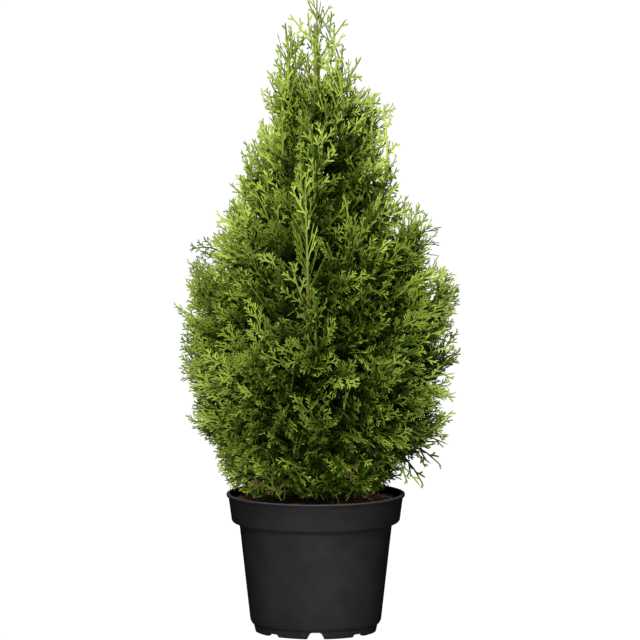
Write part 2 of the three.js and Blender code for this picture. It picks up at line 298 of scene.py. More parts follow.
def compostMaterial(name, low, high):
    material, shader = nodeMaterial(name, low, 0.95, 0.2)
    crumbs = noiseOf(material, 330, 6, 0.75)
    base = ramp(material, crumbs, [(0.32, low), (0.52, compost["dark"]), (0.72, high)])
    join(material, base, shader.inputs["Base Color"])
    join(material, spanned(material, crumbs, 0.75, 1.0), shader.inputs["Roughness"])
    bump(material, shader, noiseOf(material, 900, 5, 0.8), 0.7, 0.0012)
    return material


def makeCompost():  # the profile keeps just inside the pot's wall
    edge = pot["bandTop"] - pot["wall"] - 1.2
    base = pot["foot"][1] + pot["wall"] + 0.6
    shoulder, shoulderHeight = pot["bodyTop"]
    band, bandHeight = pot["bandFoot"]
    rings = compost["rings"]
    profile = [(0, base), (pot["bodyFoot"][0] - 5, base)]
    profile += [(shoulder - 3.4, shoulderHeight), (band - 3.4, bandHeight + 3)]
    profile += [(edge * (1 - i / rings), compostLevel) for i in range(rings + 1)]
    bm = spun(profile, compost["steps"])
    for vert in bm.verts:
        if vert.co.z > (compostLevel - 1) * mm:
            vert.co.z = compostHeight(vert.co.x / mm, vert.co.y / mm) * mm
    peat = compostMaterial("moistPeat", compost["brown"], compost["brown"])
    return keep(objectFrom(bm, "peat", [peat]), "compost", "compost")


def makeChips(rng):
    bm = bmesh.new()
    for _ in range(compost["chips"]):
        radius = compost["chipsWithin"] * math.sqrt(rng.random())
        turn = rng.uniform(0, fullTurn)
        x, y = radius * math.cos(turn), radius * math.sin(turn)
        length = rng.uniform(*compost["chipLength"]) * rng.uniform(0.5, 1)
        size = Vector((length, length * rng.uniform(0.3, 0.7), length * rng.uniform(0.15, 0.4))) * mm
        place = Vector((x, y, compostHeight(x, y) + length * 0.08)) * mm
        nod = Matrix.Rotation(rng.uniform(-0.6, 0.6), 4, "X")
        tilt = nod @ Matrix.Rotation(rng.uniform(-0.5, 0.5), 4, "Y")
        pose = Matrix.Translation(place) @ Matrix.Rotation(turn * 7, 4, "Z")
        pose = pose @ tilt @ Matrix.Diagonal((*size, 1))
        for vert in bmesh.ops.create_icosphere(bm, subdivisions=1, radius=0.5, matrix=pose)["verts"]:
            vert.co += Vector([rng.uniform(-0.16, 0.16) * length * mm for _ in range(3)])
    chips = compostMaterial("barkChips", compost["dark"], compost["chip"])
    return keep(objectFrom(bm, "compostChips", [chips], smooth=False), "compost", "compost")


print("compost")
makeCompost()
makeChips(random.Random(7))

# The crown's rule, as in the solids: tiers of limbs leave one trunk, and each has a space of its own.
crownOutline = np.array([  # height, reach to the left, reach to the right
    (172, 84, 88), (190, 120, 128), (220, 126, 140), (245, 142, 168), (270, 166, 174), (345, 180, 181),
    (420, 173, 188), (470, 164, 173), (500, 140, 165), (525, 134, 148), (550, 116, 124), (600, 104, 110),
    (650, 72, 102), (680, 66, 88), (705, 64, 54), (750, 50, 34), (785, 28, 30), (802, 6, 8),
], float)
tiers = [  # the last two have fewer twigs, because the tip is open
    {"start": 184, "end": 205, "count": 5, "turn": 18, "bare": 0, "lift": -0.1},
    {"start": 204, "end": 262, "count": 5, "turn": 54, "bare": 0, "lift": 0.02},
    {"start": 240, "end": 342, "count": 6, "turn": 0, "bare": 0.28, "lift": 0.12},
    {"start": 300, "end": 430, "count": 5, "turn": 54, "bare": 0.28, "lift": 0.2},
    {"start": 372, "end": 522, "count": 5, "turn": 6, "bare": 0.28, "lift": 0.3},
    {"start": 450, "end": 606, "count": 5, "turn": 54, "bare": 0, "lift": 0.35},
    {"start": 540, "end": 700, "count": 4, "turn": 40, "bare": 0, "lift": 0.4, "twigs": 0.7},
    {"start": 640, "end": 775, "count": 4, "turn": 0, "bare": 0, "lift": 0.5, "twigs": 0.45,
     "stemPoints": 25, "twigsTo": 0.7, "endSprays": (0.6, 0.74)},
]
topTier = len(tiers) - 1
trunk = {"foot": 168.3, "top": 802, "footRadius": 6.6, "tipRadius": 0.9, "flare": 3, "flareHeight": 16}
trunkSway = {"amount": 3.5, "depth": 0.6, "waves": 1.6, "topLean": 1.5}
bough = {"root": 3, "tip": 1.9, "bow": 0.24, "tipShare": 0.88}
crownSetBack = 5  # the crown reaches this much further at the back, and less at the front


def unit(vector):
    return vector / max(np.linalg.norm(vector), 1e-9)


def headingOf(turn, steep=0):  # radians
    return np.array([math.cos(turn) * math.cos(steep), math.sin(turn) * math.cos(steep), math.sin(steep)])


def alongTrunk(height):
    return (height - trunk["foot"]) / (trunk["top"] - trunk["foot"])


def trunkCentre(height):
    along = alongTrunk(height)
    swing = trunkSway["amount"] * np.sin(along * trunkSway["waves"] * fullTurn) * (1 - along)
    x, y = swing + trunkSway["topLean"] * along, swing * trunkSway["depth"]
    return np.stack([x, y, np.asarray(height, float) + 0 * x], axis=-1)


def trunkRadius(height):
    foot, tip = trunk["footRadius"], trunk["tipRadius"]
    flare = np.exp(-(height - trunk["foot"]) / trunk["flareHeight"]) * trunk["flare"]
    return foot + (tip - foot) * alongTrunk(height) + flare


def crownReach(height, turn):
    heights, *sides = crownOutline.T
    left, right = (np.interp(height, heights, side, left=0, right=0) for side in sides)
    setBack = crownSetBack * np.sin(turn) * np.minimum(1, left / 60)
    return left + (right - left) * (1 + np.cos(turn)) / 2 + setBack


def evenly(points, count):  # the same path with its points at equal distances
    steps = np.linalg.norm(np.diff(points, axis=0), axis=1)
    along = np.concatenate([[0], np.cumsum(steps)])
    wanted = np.linspace(0, along[-1], count)
    return np.stack([np.interp(wanted, along, points[:, k]) for k in range(3)], axis=1)


def bent(root, elbow, tip, count=33):  # a quadratic curve
    t = np.linspace(0, 1, count)[:, None]
    return evenly(root * (1 - t) ** 2 + elbow * 2 * t * (1 - t) + tip * t**2, count)


def pointAt(path, share):
    place = np.clip(share, 0, 1) * (len(path) - 1)
    index = min(int(place), len(path) - 2)
    return path[index] + (path[index + 1] - path[index]) * (place - index)


def tangentAt(path, share):
    return unit(pointAt(path, min(share + 0.03, 1)) - pointAt(path, max(share - 0.03, 0)))


def makeLimbs():
    limbs = []
    for level, tier in enumerate(tiers):
        for index in range(tier["count"]):
            turn = math.radians(tier["turn"] + 360 * index / tier["count"])
            outward = headingOf(turn)
            root = trunkCentre(tier["start"])
            tip = outward * crownReach(tier["end"], turn) * bough["tipShare"]
            tip[2] = tier["end"]
            rise = bough["bow"] * (tip[2] - root[2])
            path = bent(root, (root + tip) / 2 + outward * rise - up * rise, tip, 65)
            split = round(tier["bare"] * 64)
            stem = evenly(path[split:], 33)
            limbs.append({
                "level": level, "tier": tier, "outward": outward, "stem": stem,
                "line": stem[::4] if split else stem[8::3],
                "bough": evenly(path[:split + 1], 17) if split else None,
            })
    return limbs


limbs = makeLimbs()
segmentStarts = np.concatenate([limb["line"][:-1] for limb in limbs])
segmentEnds = np.concatenate([limb["line"][1:] for limb in limbs])
limbFirsts = np.cumsum([0] + [len(limb["line"]) - 1 for limb in limbs[:-1]])  # each limb's first segment


def distances(points):  # from each point to each limb's stem
    along = segmentEnds - segmentStarts
    away = points[:, None, :] - segmentStarts[None]
    share = np.clip((away * along).sum(-1) / (along * along).sum(-1), 0, 1)
    apart = np.linalg.norm(away - share[..., None] * along, axis=-1)
    return np.minimum.reduceat(apart, limbFirsts, axis=1)


def nearestLimb(point):  # with the number of the nearest point on its stem
    limb = limbs[int(np.argmin(distances(point[None])[0]))]
    return limb, int(np.argmin(np.linalg.norm(limb["stem"] - point, axis=1)))


space = {
    "step": 3,
    "farthest": 165,
    "ground": (177, 169),  # over the pot's wall, over the compost
    "aboveGround": 6,
    "spill": 34,
    "nearStem": (6, 12),  # a line is free this near its own stem, over this much of its start
    "box": ((-181, -177), (187, 177)),  # no spray reaches past it
}
hollows = [  # where the crown stands back: turn, height, size, depth
    (180, 612, 24, 30), (180, 566, 16, 12), (180, 352, 30, 18), (180, 305, 16, 14), (176, 236, 20, 14),
    (0, 690, 16, 14), (0, 580, 26, 24), (4, 552, 20, 22), (-5, 206, 32, 48), (-20, 635, 16, 16),
    (-87, 540, 16, 36), (-85, 500, 18, 44), (-83, 458, 18, 44), (-70, 490, 14, 36), (-80, 421, 18, 40),
    (-60, 415, 36, 58), (-55, 470, 16, 34), (-38, 350, 20, 40), (-66, 255, 26, 30), (-32, 198, 28, 36),
    (-110, 330, 22, 34), (-128, 425, 20, 30), (-150, 655, 16, 16),
    (20, 204, 30, 34), (70, 470, 26, 34), (95, 590, 20, 24), (120, 300, 26, 30),
]


def standBack(points):
    back = np.zeros(len(points))
    for turn, height, size, depth in hollows:
        turn = math.radians(turn)
        centre = headingOf(turn) * crownReach(height, turn) + up * height
        back += depth * np.exp(-((points - centre) ** 2).sum(axis=1) / size**2)
    return back


def insideCrown(points, slack=0):
    radius = np.hypot(points[:, 0], points[:, 1])
    ground = np.where(radius > pot["bodyTop"][0], *space["ground"])
    reach = crownReach(points[:, 2], np.arctan2(points[:, 1], points[:, 0]))
    high = points[:, 2] > ground + space["aboveGround"]
    return high & (points[:, 2] < trunk["top"]) & (radius < reach + slack - standBack(points))


def freeRun(index, start, direction):  # how far a line stays in a limb's own space, with a little spill
    far = np.arange(space["step"], space["farthest"], space["step"])
    points = start + far[:, None] * direction
    apart = distances(points)
    own = apart[:, index].copy()
    apart[:, index] = np.inf
    free = insideCrown(points) & (apart.min(axis=1) > own - space["spill"])
    free |= (own < space["nearStem"][0]) & (far < space["nearStem"][1])
    blocked = np.nonzero(~free)[0]
    return far[blocked[0]] - space["step"] if len(blocked) else far[-1]


# Flat sprays of scale leaves. A spray has a rib, side shoots and short tips, all nearly in one plane.
spray = {
    "lengths": (30, 42, 56, 74, 94, 116),
    "shapes": 5,
    "openness": (1, 1.45, 1.9),  # the shoots of an open spray are this much further apart
    "widening": 0.35,  # per unit of openness above 1 they also stand this much wider
    "thickening": 0.3,  # and are this much thicker
    "sideStep": 20,  # between side shoots on one side of the rib
    "sideShare": 0.5,
    "sideAngle": (29, 39),
    "tipStep": 6.4,
    "tipLength": (7.5, 12.0),
    "tipAngle": (27, 37),
    "tipWidth": (1.5, 2.0),
    "ribWidth": 2.1,
    "sideWidth": 1.7,
    "ridge": 0.42,
    "ripple": 0.07,  # how far the shoots rise out of the plane, as a share of their length
}


def turned(direction, degrees):
    c, s = math.cos(math.radians(degrees)), math.sin(math.radians(degrees))
    return np.array([c * direction[0] - s * direction[1], s * direction[0] + c * direction[1]])


class Spray:  # triangles in a plane, each with its age: 0 at the tips, 3 along the rib
    def __init__(self, length, openness, rng):
        self.length, self.openness, self.rng = length, openness, rng
        self.widening = 1 + spray["widening"] * (openness - 1)
        self.thickening = 1 + spray["thickening"] * (openness - 1)
        self.verts, self.faces, self.ages = [], [], []
        self.grow()
        self.verts, self.faces, self.ages = map(np.array, (self.verts, self.faces, self.ages))

    def add(self, points, faces, age):
        first = len(self.verts)
        self.verts += points
        self.faces += [tuple(first + k for k in face) for face in faces]
        self.ages += [age] * len(faces)

    def ribbon(self, path, widths, ages, side, rise=0):  # a ridged strip that ends in a point
        last = len(path) - 1
        rows = []
        for i, here in enumerate(path[:-1]):
            ahead = unit(path[i + 1] - path[max(i - 1, 0)])
            across = np.array([-ahead[1], ahead[0]]) * widths[i] / 2 * self.thickening
            level, ridge = rise * i / last, side * spray["ridge"] * widths[i]
            rows.append([(*(here + across), level), (*here, level + ridge), (*(here - across), level)])
        for i in range(last - 1):
            strip = [(0, 3, 1), (3, 4, 1), (1, 4, 2), (4, 5, 2)]
            self.add(rows[i] + rows[i + 1], strip, ages[i])
        self.add(rows[-1] + [(*path[last], rise)], [(0, 3, 1), (1, 3, 2)], ages[-1])

    def tip(self, root, direction, length, age, side, level=0):  # a short blunt shoot
        width = self.rng.uniform(*spray["tipWidth"]) * self.thickening
        rise = self.rng.uniform(-1, 1) * spray["ripple"] * length
        across = np.array([-direction[1], direction[0]]) * width / 2
        wide, middle = root + direction * length * 0.74, root + direction * length * 0.5
        high = level + rise * 0.7
        points = [
            (*(root + across * 0.6), level), (*(wide + across), high),
            (*(root + direction * length), level + rise),
            (*(wide - across), high), (*(root - across * 0.6), level),
            (*middle, level + rise * 0.5 + side * spray["ridge"] * width),
        ]
        self.add(points, [(0, 5, 1), (1, 5, 2), (2, 5, 3), (3, 5, 4), (4, 5, 0)], age)

    def grow(self):
        rng, length = self.rng, self.length
        sway = rng.uniform(-0.13, 0.13)
        shares = np.append(np.linspace(0, 0.92, max(3, round(length / 20) + 1)), 1)
        rib = np.stack([sway * length * np.sin(shares * 2.4), shares * length], axis=1)
        widths = spray["ribWidth"] * (1.05 - 0.4 * shares)
        self.ribbon(rib, widths, [3 if share < 0.6 else 2 for share in shares[:-1]], 1)

        def ribAt(share):
            return np.array([np.interp(share, shares, rib[:, 0]), np.interp(share, shares, rib[:, 1])])

        hand, place = rng.choice((-1, 1)), 0.05 * length + rng.uniform(0, 3)
        while place < length - 4:
            share = place / length
            ahead = unit(ribAt(min(share + 0.05, 1)) - ribAt(share - 0.05))
            shape = min(1, 0.5 + share * 2) * (1 - share) ** 0.7
            sideLength = spray["sideShare"] * length * shape * rng.uniform(0.75, 1.15)
            angle = -hand * rng.uniform(*spray["sideAngle"]) * (1 - 0.2 * share) * self.widening
            self.sideShoot(ribAt(share), turned(ahead, angle), ahead, sideLength, share)
            crowding = min(1, 0.3 + sideLength / 36)  # short shoots stand closer together
            place += spray["sideStep"] / 2 * self.openness * crowding * rng.uniform(0.85, 1.15)
            hand = -hand

    def sideShoot(self, root, direction, ribAhead, length, along):
        rng, side = self.rng, self.rng.choice((-1, 1))
        if length < 12:
            self.tip(root, direction, max(length, 6.5), 0 if along > 0.75 else 1, side)
            return
        rise = rng.uniform(-1, 1) * spray["ripple"] * length
        curl = 0.25 * rng.uniform(0.3, 1.3)
        middle = root + direction * length * 0.55
        end = middle + unit(direction + ribAhead * curl) * length * 0.45
        nearEnd = middle + (end - middle) * 0.8
        self.ribbon([root, middle, nearEnd, end], [spray["sideWidth"]] * 3, [2, 1, 0], side, rise)
        hand, place = rng.choice((-1, 1)), max(3.5, 0.14 * length)
        while place < length - 4:
            share = place / length
            if share < 0.55:
                foot, ahead = root + direction * place, direction
            else:
                foot, ahead = middle + (end - middle) * (share - 0.55) / 0.45, unit(end - middle)
            tipLength = min(rng.uniform(*spray["tipLength"]), 4 + 0.5 * (length - place), 3 + 0.9 * place)
            turn = -hand * rng.uniform(*spray["tipAngle"]) * self.widening
            age = round(2.2 * (1 - 0.6 * share - 0.5 * along))
            self.tip(foot, turned(ahead, turn), tipLength, max(0, age), side, rise * share)
            place += spray["tipStep"] / 2 * self.openness * rng.uniform(0.85, 1.15)
            hand = -hand


sprayShapes = {
    (length, openness): [
        Spray(length, openness, random.Random(length * 10 + i + openness)) for i in range(spray["shapes"])
    ]
    for length in spray["lengths"] for openness in spray["openness"]
}
print("spray shapes", len(sprayShapes) * spray["shapes"])


# Joined meshes: each holds its triangles and the number of the colour that each one has.
class Joined:
    def __init__(self):
        self.verts, self.faces, self.colors, self.starts, self.count = [], [], [], [], 0

    def add(self, verts, faces, colors):
        self.starts.append(self.count)
        self.verts.append(verts)
        self.faces.append(faces + self.count)
        self.colors.append(np.zeros(len(faces)) + colors)
        self.count += len(verts)

    def triangles(self):
        return sum(len(faces) for faces in self.faces)

    def make(self, name, materials):
        verts, faces = np.concatenate(self.verts) * mm, np.concatenate(self.faces)
        mesh = bpy.data.meshes.new(name)
        mesh.vertices.add(len(verts))
        mesh.vertices.foreach_set("co", verts.astype(np.float32).ravel())
        mesh.loops.add(faces.size)
        mesh.loops.foreach_set("vertex_index", faces.astype(np.int32).ravel())
        mesh.polygons.add(len(faces))
        mesh.polygons.foreach_set("loop_start", np.arange(0, faces.size, 3, dtype=np.int32))
        mesh.polygons.foreach_set("material_index", np.concatenate(self.colors).astype(np.int32))
        mesh.update(calc_edges=True)
        for material in materials:
            mesh.materials.append(material)
        return linked(name, mesh)


def tube(path, radii, sides):  # a closed limb of a few faces
    count = len(path)
    ahead = np.gradient(path, axis=0)
    ahead /= np.linalg.norm(ahead, axis=1)[:, None]
    across = np.cross(ahead, (0.31, 0.17, 0.94))
    across /= np.linalg.norm(across, axis=1)[:, None]
    other = np.cross(ahead, across)
    turns = np.arange(sides)[None, :, None] * fullTurn / sides
    around = np.cos(turns) * across[:, None] + np.sin(turns) * other[:, None]
    verts = (path[:, None] + radii[:, None, None] * around).reshape(-1, 3)
    faces = []
    for i in range(count - 1):
        for k in range(sides):
            a, b = i * sides + k, i * sides + (k + 1) % sides
            faces += [(a, b, b + sides), (a, b + sides, a + sides)]
    last = (count - 1) * sides
    for k in range(1, sides - 1):
        faces += [(0, k + 1, k), (last, last + k, last + k + 1)]
    return verts, np.array(faces)


foliage = {
    "open": ((300, 520, 640, 720), (0.1, 0.6, 1.5, 2.0)),  # how open the sprays are at these heights
    "openRight": 0.0025,  # and how much more so for each millimetre to the right
    "openCorner": (60, 260, 1.5),  # the sprays right of this and below this are this much more open
    "tint": 2.0,  # how unlike the sprays are, in half steps of green
    "twigEvery": 18.0,  # along a stem
    "twigs": 1,  # a tier may have its own number here, and in the next three
    "stemPoints": 33,
    "twigsTo": 0.93,
    "endSprays": (0.7, 0.78, 0.86, 0.93, 0.98, 1),  # along the stem
    "redTwigs": 0.45,
    "spread": (0.3, 0.95),  # radians, as is the arch
    "outward": 0.45,
    "climb": (0.0, 0.05, 0.2, 0.3, 0.4, 0.5, 0.7, 0.9),  # how much the sprays of each tier turn upwards
    "twigShare": 0.3,  # of the free run, the rest is the spray that ends it
    "sideSprays": (0.3, 0.6, 0.9),
    "sideTurn": (28, 50),
    "longest": 104,
    "shortest": 26,
    "shortFrom": 740,  # from this height up a spray may be shorter still
    "fits": (1, 0.84, 0.68, 0.54),  # what doesn't fit its space is tried again this much smaller
    "arch": (-0.5, 0.4),
    "straight": ((640, 720), (1, 0.3)),  # the arch is less at the top
    "droop": (0.1, 0.08, 0.05, 0.0, 0.0, -0.04, -0.06, -0.08),  # by tier, as a share of the length
    "twigRadius": (0.9, 0.5),
    "stemRadius": (1.9, 1.2, 0.6),  # at its root, half way and at its tip
}
leaves = [Joined() for _ in tiers]
twigs = Joined()


def basis(direction, roll):
    across = np.cross(direction, (0, 0, 1))
    across = unit(across if np.linalg.norm(across) > 0.05 else np.array([1.0, 0, 0]))
    normal = np.cross(across, direction)
    c, s = math.cos(roll), math.sin(roll)
    return across * c + normal * s, direction, normal * c - across * s


def opennessAt(foot):
    right, _, height = foot
    side, top, more = foliage["openCorner"]
    corner = more * float(right > side and height < top)
    return np.clip(np.interp(height, *foliage["open"]) + right * foliage["openRight"] + corner, 0, 2)


def placeSpray(level, foot, direction, length, rng, roll=None, slack=4, openness=None):
    roll = rng.uniform(0, math.pi) if roll is None else roll
    for size in foliage["fits"]:
        wanted = length * size
        if wanted < foliage["shortest"] and foot[2] < foliage["shortFrom"]:
            return
        shapeLength = min(spray["lengths"], key=lambda each: abs(each - wanted))
        step = int(rng.random() + opennessAt(foot)) if openness is None else openness
        shape = rng.choice(sprayShapes[shapeLength, spray["openness"][step]])
        local = shape.verts * (wanted / shape.length)
        along = local[:, 1] / wanted
        arch = rng.uniform(*foliage["arch"]) * np.interp(foot[2], *foliage["straight"])
        arch = arch if abs(arch) > 0.02 else 0.02
        across, ahead, normal = basis(direction, roll)
        forward = wanted * np.sin(along * arch) / arch
        rise = wanted * (1 - np.cos(along * arch)) / arch
        verts = foot + local[:, :1] * across + forward[:, None] * ahead
        verts += (rise + local[:, 2])[:, None] * normal
        verts[:, 2] -= (foliage["droop"][level] + rng.uniform(-0.06, 0.06)) * wanted * along**2
        if insideCrown(verts[::9], slack).mean() > 0.95:
            tint = rng.gauss(0, foliage["tint"])
            low, high = space["box"]
            if (verts[:, :2] > low).all() and (verts[:, :2] < high).all():
                leaves[level].add(verts, shape.faces, shape.ages + tint)
            return


def addTwig(path, thick, thin, sides, color):
    verts, faces = tube(path, np.linspace(thick, thin, len(path)), sides)
    twigs.add(verts, faces, color)


def growTwig(index, start, tangent, direction, rng):
    limb = limbs[index]
    level = limb["level"]
    run = freeRun(index, start, direction) * rng.uniform(0.88, 1.0)
    if run < foliage["shortest"]:
        return
    bare = max(run * foliage["twigShare"], run - foliage["longest"])
    path = bent(start, start + tangent * bare * 0.45, start + direction * bare, 5)
    ahead = unit(unit(path[-1] - path[-2]) + 0.4 * direction + up * foliage["climb"][level])
    addTwig(path, *foliage["twigRadius"], 3, int(rng.random() >= foliage["redTwigs"]))
    placeSpray(level, path[-1] - ahead * 3, ahead, run - bare + 3, rng)
    plane = unit(np.cross(ahead, (rng.uniform(-1, 1), rng.uniform(-1, 1), rng.uniform(-0.4, 0.4))))
    for k, share in enumerate(foliage["sideSprays"]):
        if bare * share < 6 and k < 2:
            continue
        angle = math.radians(rng.uniform(*foliage["sideTurn"])) * (1 if k % 2 else -1)
        side = unit(ahead * math.cos(angle) + plane * math.sin(angle))
        foot = pointAt(path, share)
        reach = min((run - bare * share) * rng.uniform(0.65, 0.95), foliage["longest"] * 0.85)
        placeSpray(level, foot, side, reach, rng)


def growLimb(index, rng):
    limb = limbs[index]
    stem, form = limb["stem"], {**foliage, **limb["tier"]}
    length = np.linalg.norm(np.diff(stem, axis=0), axis=1).sum()
    thick, middle, thin = form["stemRadius"]
    addTwig(stem[:19:3], thick, middle, 5, 0)
    addTwig(stem[18:form["stemPoints"]:2], middle, thin, 5, 1)
    count = round(length / form["twigEvery"] * form["twigs"])
    for i in range(count):
        share = 0.04 + form["twigsTo"] * i / count
        tangent = tangentAt(stem, share)
        first, _, second = basis(tangent, 0)
        turn = i * goldenAngle + rng.uniform(-0.3, 0.3)
        spread = rng.uniform(*form["spread"]) * (1 - 0.35 * share)
        aside = math.sin(spread) * (math.cos(turn) * first + math.sin(turn) * second)
        aim = tangent * math.cos(spread) + aside + form["outward"] * limb["outward"]
        direction = unit(aim + up * form["lift"])
        growTwig(index, pointAt(stem, share), tangent, direction, rng)
    end = tangentAt(stem, 1)
    for share in form["endSprays"]:
        foot = pointAt(stem, share)
        aim = unit(end + np.array([rng.uniform(-0.3, 0.3) for _ in range(3)]))
        placeSpray(limb["level"], foot, aim, freeRun(index, foot, aim) + 4, rng)


# Fronds end all over the crown's surface, each on a twig that leaves the nearest limb.
frond = {
    "start": 176,
    "end": 715,
    "apart": (17.6, 38),  # at the foot and at the top
    "steepness": (-2, 62),  # above level, at the foot of the crown and at its tip
    "sway": 15,
    "length": (70, 112),
    "topLength": (40, 66),
    "lobes": (0.2, 0.4),  # how far the surface comes and goes, as a share of its reach
    "lobeSize": 50,
    "redTwigs": 0.2,
    "flat": 34,  # how far the sprays turn out of an upright plane
}


def growFronds(rng):
    height, count = frond["start"], 0
    while height < frond["end"]:
        turn = count * goldenAngle
        reach = float(crownReach(height, turn))
        share = min(1, max(0, (height - 200) / (trunk["top"] - 200)))
        outward = headingOf(turn)
        ripple = 0.35 - noise.noise(Vector(outward * reach + up * height) / frond["lobeSize"])
        lobe = ripple * np.interp(share, (0, 1), frond["lobes"]) + rng.uniform(-0.05, 0.05)
        surface = outward * reach * (1 - lobe) + up * height
        surface -= outward * standBack(surface[None])[0]
        low, high = frond["steepness"]
        steep = math.radians(low + (high - low) * share**0.8 + rng.gauss(0, frond["sway"]))
        heading = turn + math.radians(rng.gauss(0, frond["sway"] * 1.3))
        aim = headingOf(heading, steep)
        short, long = (a + (b - a) * share for a, b in zip(frond["length"], frond["topLength"]))
        length = rng.uniform(short, long)
        foot = surface - aim * length
        limb, nearest = nearestLimb(foot)
        start = limb["stem"][max(nearest - 5, 0)]
        gap = np.linalg.norm(foot - start)
        if gap > 5:
            path = bent(start, foot - aim * gap * 0.4, foot + aim * 4, 6)
            addTwig(path, *foliage["twigRadius"], 3, int(rng.random() > frond["redTwigs"]))
        roll = math.pi / 2 + math.radians(rng.gauss(0, frond["flat"] * (1 + share)))
        placeSpray(limb["level"], foot, aim, length, rng, roll, 6)
        height += np.interp(share, (0.4, 1), frond["apart"]) ** 2 / (fullTurn * max(reach, 30))
        count += 1
    print("fronds", count)


leader = {
    "start": 520,
    "step": (7.5, 9.5),  # half way up and at the tip
    "length": ((520, 690, 786), (100, 80, 20)),  # at these heights
    "steepness": (44, 58),
    "flat": 0.5,  # radians, how far the sprays turn out of an upright plane
    "single": 705,  # from here up the sprays to the left and right are the single ones below
}


def growLeader(rng):  # short sprays straight from the trunk's top, up to its tip
    height, count = leader["start"], 0
    top = trunk["top"]
    while height < top - 14:
        share = (height - leader["start"]) / (top - leader["start"])
        low, high = (math.radians(angle) for angle in leader["steepness"])
        steep = low + (high - low) * share + rng.uniform(-0.12, 0.12)
        turn = count * goldenAngle
        aim = headingOf(turn, steep)
        length = np.interp(height, *leader["length"]) * rng.uniform(0.85, 1.1)
        roll = math.pi / 2 + rng.gauss(0, leader["flat"])
        if height < leader["single"] or abs(math.cos(turn)) < 0.6:
            placeSpray(topTier, trunkCentre(height), aim, length, rng, roll, 9)
        height += np.interp(share, (0.5, 1), leader["step"])
        count += 1


frontShoot = {  # an upright shoot stands out of the crown's front
    "foot": (-10, -138, 412),
    "tip": (-13, -112, 566),
    "bare": 0.2,  # the share of it that shows its red stem
    "radius": (2.0, 1.8, 0.8),  # at the foot, where the red ends and at the tip
    "step": 6.5,
    "length": (62, 44),
    "spread": (26, 12),  # between a spray and the shoot, at its foot and tip
    "end": 46,  # the spray that ends it
}


def growFrontShoot(rng):
    foot, tip = (np.array(frontShoot[end], float) for end in ("foot", "tip"))
    length = np.linalg.norm(tip - foot)
    path = bent(foot, (foot + tip) / 2 + np.array([2, -4, 0]), tip, 17)
    limb, _ = nearestLimb(foot)
    thick, middle, thin = frontShoot["radius"]
    addTwig(bent(limb["stem"][12], foot - up * 25, path[1], 6), middle, thick, 6, 0)
    addTwig(path[:5], thick, middle, 6, 0)
    addTwig(path[4:], middle, thin, 6, 1)
    level, place, hand = limb["level"], frontShoot["bare"] * length, 1
    while place < length:
        share = place / length
        spread = math.radians(np.interp(share, (0, 1), frontShoot["spread"]) + rng.gauss(0, 4))
        ahead = tangentAt(path, share)
        aim = unit(ahead * math.cos(spread) + np.array([hand, rng.uniform(-0.5, 0.15), 0]) * math.sin(spread))
        reach = np.interp(share, (0, 1), frontShoot["length"]) * rng.uniform(0.85, 1.15)
        placeSpray(level, pointAt(path, share), aim, reach, rng, rng.gauss(0, 0.5), 14)
        place += frontShoot["step"] * rng.uniform(0.8, 1.2)
        hand = -hand
    placeSpray(level, path[-2], tangentAt(path, 1), frontShoot["end"], rng, 0.1, 14)


singleSprays = [  # open sprays with a place of their own: tier, foot, heading, length
    (0, (84, -34, 250), (0.62, -0.12, -0.78), 78), (0, (88, -30, 252), (0.9, -0.15, -0.42), 78),
    (0, (92, -26, 256), (1, -0.1, -0.16), 78), (0, (70, -60, 240), (0.75, -0.35, -0.5), 78),
    (0, (84, 40, 250), (0.8, 0.3, -0.5), 78),
    (2, (112, -58, 326), (1, -0.1, 0.2), 66), (2, (112, -52, 350), (1, 0, 0.36), 66),
    (2, (114, -46, 306), (1, -0.15, 0), 64), (2, (110, -40, 372), (1, -0.1, 0.5), 62),
    (7, (2, -1, 737), (-0.68, 0, 0.73), 54), (7, (2, -2, 749), (0.42, -0.1, 0.9), 50),
    (7, (2, -2, 722), (0.6, 0.1, 0.76), 62), (7, (2, 0, 774), (-0.45, 0, 0.85), 27),
    (7, (1, 2, 714), (-0.68, 0.1, 0.68), 56), (7, (3, -3, 712), (0.55, -0.1, 0.8), 54),
    (7, (-24, 4, 704), (-0.5, 0, 0.84), 48), (7, (-28, -6, 676), (-0.7, -0.1, 0.68), 48),
    (7, (26, 0, 690), (0.6, -0.1, 0.76), 48),
]


def growSingle(rng):
    for level, foot, heading, length in singleSprays:
        foot, heading = np.array(foot, float), unit(np.array(heading, float))
        placeSpray(level, foot, heading, length, rng, math.pi / 2 + rng.gauss(0, 0.2), 60, 2)
        if math.hypot(foot[0], foot[1]) > 6:  # the others leave the trunk itself
            limb, nearest = nearestLimb(foot)
            start = limb["stem"][nearest]
            addTwig(bent(start, (start + foot) / 2 + up * 4, foot + heading * 4, 5), 1.1, 0.8, 4, 0)


inner = {
    "start": 184,
    "end": 620,
    "step": 0.95,  # up the trunk, from spray to spray
    "steepness": (12, 55),
    "length": (66, 112),
    "fromTrunk": 55,
    "onBough": 9,
}


